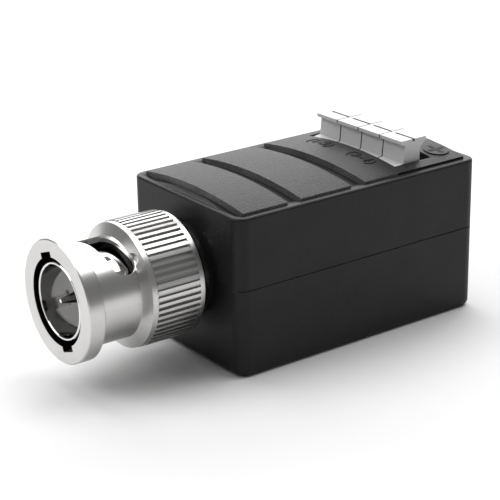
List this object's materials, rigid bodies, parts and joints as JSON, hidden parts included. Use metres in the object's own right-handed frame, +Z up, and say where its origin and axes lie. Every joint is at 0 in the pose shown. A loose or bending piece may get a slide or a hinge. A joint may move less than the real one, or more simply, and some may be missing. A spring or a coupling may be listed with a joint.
{
  "type": "passive video balun",
  "caption": "Small box with a bayonet video plug on its front and a row of push levers over spring wire terminals near its rear.",
  "frame": {"origin": "middle of the flat underside of the box", "axes": "+Z up from the underside, -Y out of the box along the plug, +X across the box"},
  "size_m": [0.0212, 0.0522, 0.0222],
  "materials": {
    "shell_plastic": "fine texture",
    "lever_plastic": "satin",
    "plug_nickel": "bright plated",
    "contact_plate": "plated",
    "insulator": "smooth",
    "seal": "matte",
    "spring_steel": "satin",
    "tinned_copper": "tinned",
    "board_laminate": "smooth",
    "ferrite": "matte",
    "enamelled_wire": "glossy",
    "arrester_body": "smooth",
    "resistor_body": "glossy",
    "capacitor_body": "glossy",
    "terminal_plastic": "smooth"
  },
  "bodies": {
    "box": {"housing_bottom": "shell_plastic", "housing_top": "shell_plastic", "connector_body": "plug_nickel", "contact_sleeve": "plug_nickel", "plug_dielectric": "insulator", "centre_pin": "contact_plate", "plug_gasket": "seal", "ground_lug": "tinned_copper", "front_spring_washer": "spring_steel", "circuit_board": "board_laminate", "transformer_core": "ferrite", "primary_winding": "enamelled_wire", "secondary_winding": "enamelled_wire", "choke_core": "ferrite", "choke_winding": "enamelled_wire", "surge_arrester": "arrester_body", "line_resistor_1": "resistor_body", "line_resistor_2": "resistor_body", "coupling_capacitor": "capacitor_body", "terminal_body": "terminal_plastic", "contact_bar_1": "tinned_copper", "clamp_spring_1": "spring_steel", "contact_bar_2": "tinned_copper", "clamp_spring_2": "spring_steel", "contact_bar_3": "tinned_copper", "clamp_spring_3": "spring_steel", "contact_bar_4": "tinned_copper", "clamp_spring_4": "spring_steel"},
    "nut_carrier": {"thrust_washer": "contact_plate", "rear_spring_washer": "spring_steel"},
    "nut": {"bayonet_nut": "plug_nickel", "retaining_ring": "spring_steel"},
    "lever_1": {"lever_1": "lever_plastic"},
    "lever_2": {"lever_2": "lever_plastic"},
    "lever_3": {"lever_3": "lever_plastic"},
    "lever_4": {"lever_4": "lever_plastic"}
  },
  "joints": [
    {"name": "nut_travel", "type": "slide", "parent": "box", "child": "nut_carrier", "axis": [0, -1, 0], "range_m": [0, 0.0005], "stiffness_N_per_m": 8000, "springref_m": -0.0005},
    {"name": "nut_turn", "type": "hinge", "parent": "nut_carrier", "child": "nut", "pos_m": [0, -0.0277, 0.0104], "axis": [0, -1, 0], "continuous": true},
    {"name": "lever_1_press", "type": "hinge", "parent": "box", "child": "lever_1", "pos_m": [-0.00592, 0.0086, 0.0154], "axis": [-1, 0, 0], "range_deg": [0, 10], "stiffness_Nm_per_rad": 0.08, "springref_deg": -5.73},
    {"name": "lever_2_press", "type": "hinge", "parent": "box", "child": "lever_2", "pos_m": [-0.00198, 0.0086, 0.0154], "axis": [-1, 0, 0], "range_deg": [0, 10], "stiffness_Nm_per_rad": 0.08, "springref_deg": -5.73},
    {"name": "lever_3_press", "type": "hinge", "parent": "box", "child": "lever_3", "pos_m": [0.00198, 0.0086, 0.0154], "axis": [-1, 0, 0], "range_deg": [0, 10], "stiffness_Nm_per_rad": 0.08, "springref_deg": -5.73},
    {"name": "lever_4_press", "type": "hinge", "parent": "box", "child": "lever_4", "pos_m": [0.00592, 0.0086, 0.0154], "axis": [-1, 0, 0], "range_deg": [0, 10], "stiffness_Nm_per_rad": 0.08, "springref_deg": -5.73}
  ]
}
